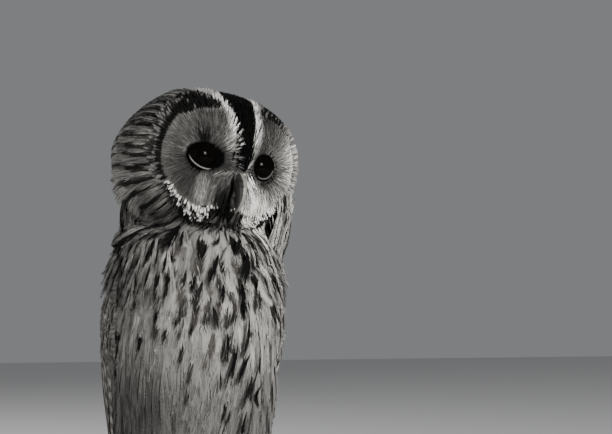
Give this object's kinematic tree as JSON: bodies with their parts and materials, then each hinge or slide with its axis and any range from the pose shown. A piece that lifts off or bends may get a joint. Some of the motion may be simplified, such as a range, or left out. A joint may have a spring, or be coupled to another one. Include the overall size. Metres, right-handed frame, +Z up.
{
  "type": "tawny owl",
  "caption": "Life-size tawny owl of the grey form, standing upright with folded wings and its round head turned to its left.",
  "frame": {"origin": "middle of the footprint, on the floor that the feet stand on", "axes": "+Z up, -Y the way the breast faces, +X to the owl's left"},
  "size_m": [0.1444, 0.1988, 0.3345],
  "materials": {
    "head_plumage": "matt",
    "breast_plumage": "matt",
    "wing_plumage": "matt",
    "flight_feathers": "matt",
    "leg_plumage": "matt",
    "eyes": "wet gloss",
    "bill": "satin horn",
    "claws": "satin horn"
  },
  "bodies": {
    "root": {"bill_lower": "bill", "bill_upper": "bill", "eye_left": "eyes", "eye_right": "eyes", "foot_left": "leg_plumage", "foot_right": "leg_plumage", "head": "head_plumage", "hind_claw_left": "claws", "hind_claw_right": "claws", "hind_toe_left": "leg_plumage", "hind_toe_right": "leg_plumage", "inner_claw_left": "claws", "inner_claw_right": "claws", "inner_toe_left": "leg_plumage", "inner_toe_right": "leg_plumage", "middle_claw_left": "claws", "middle_claw_right": "claws", "middle_toe_left": "leg_plumage", "middle_toe_right": "leg_plumage", "neck": "breast_plumage", "outer_claw_left": "claws", "outer_claw_right": "claws", "outer_toe_left": "leg_plumage", "outer_toe_right": "leg_plumage", "primaries_left": "flight_feathers", "primaries_right": "flight_feathers", "tail": "flight_feathers", "tarsus_left": "leg_plumage", "tarsus_right": "leg_plumage", "thigh_left": "leg_plumage", "thigh_right": "leg_plumage", "trunk": "breast_plumage", "wing_left": "wing_plumage", "wing_right": "wing_plumage"}
  },
  "joints": []
}
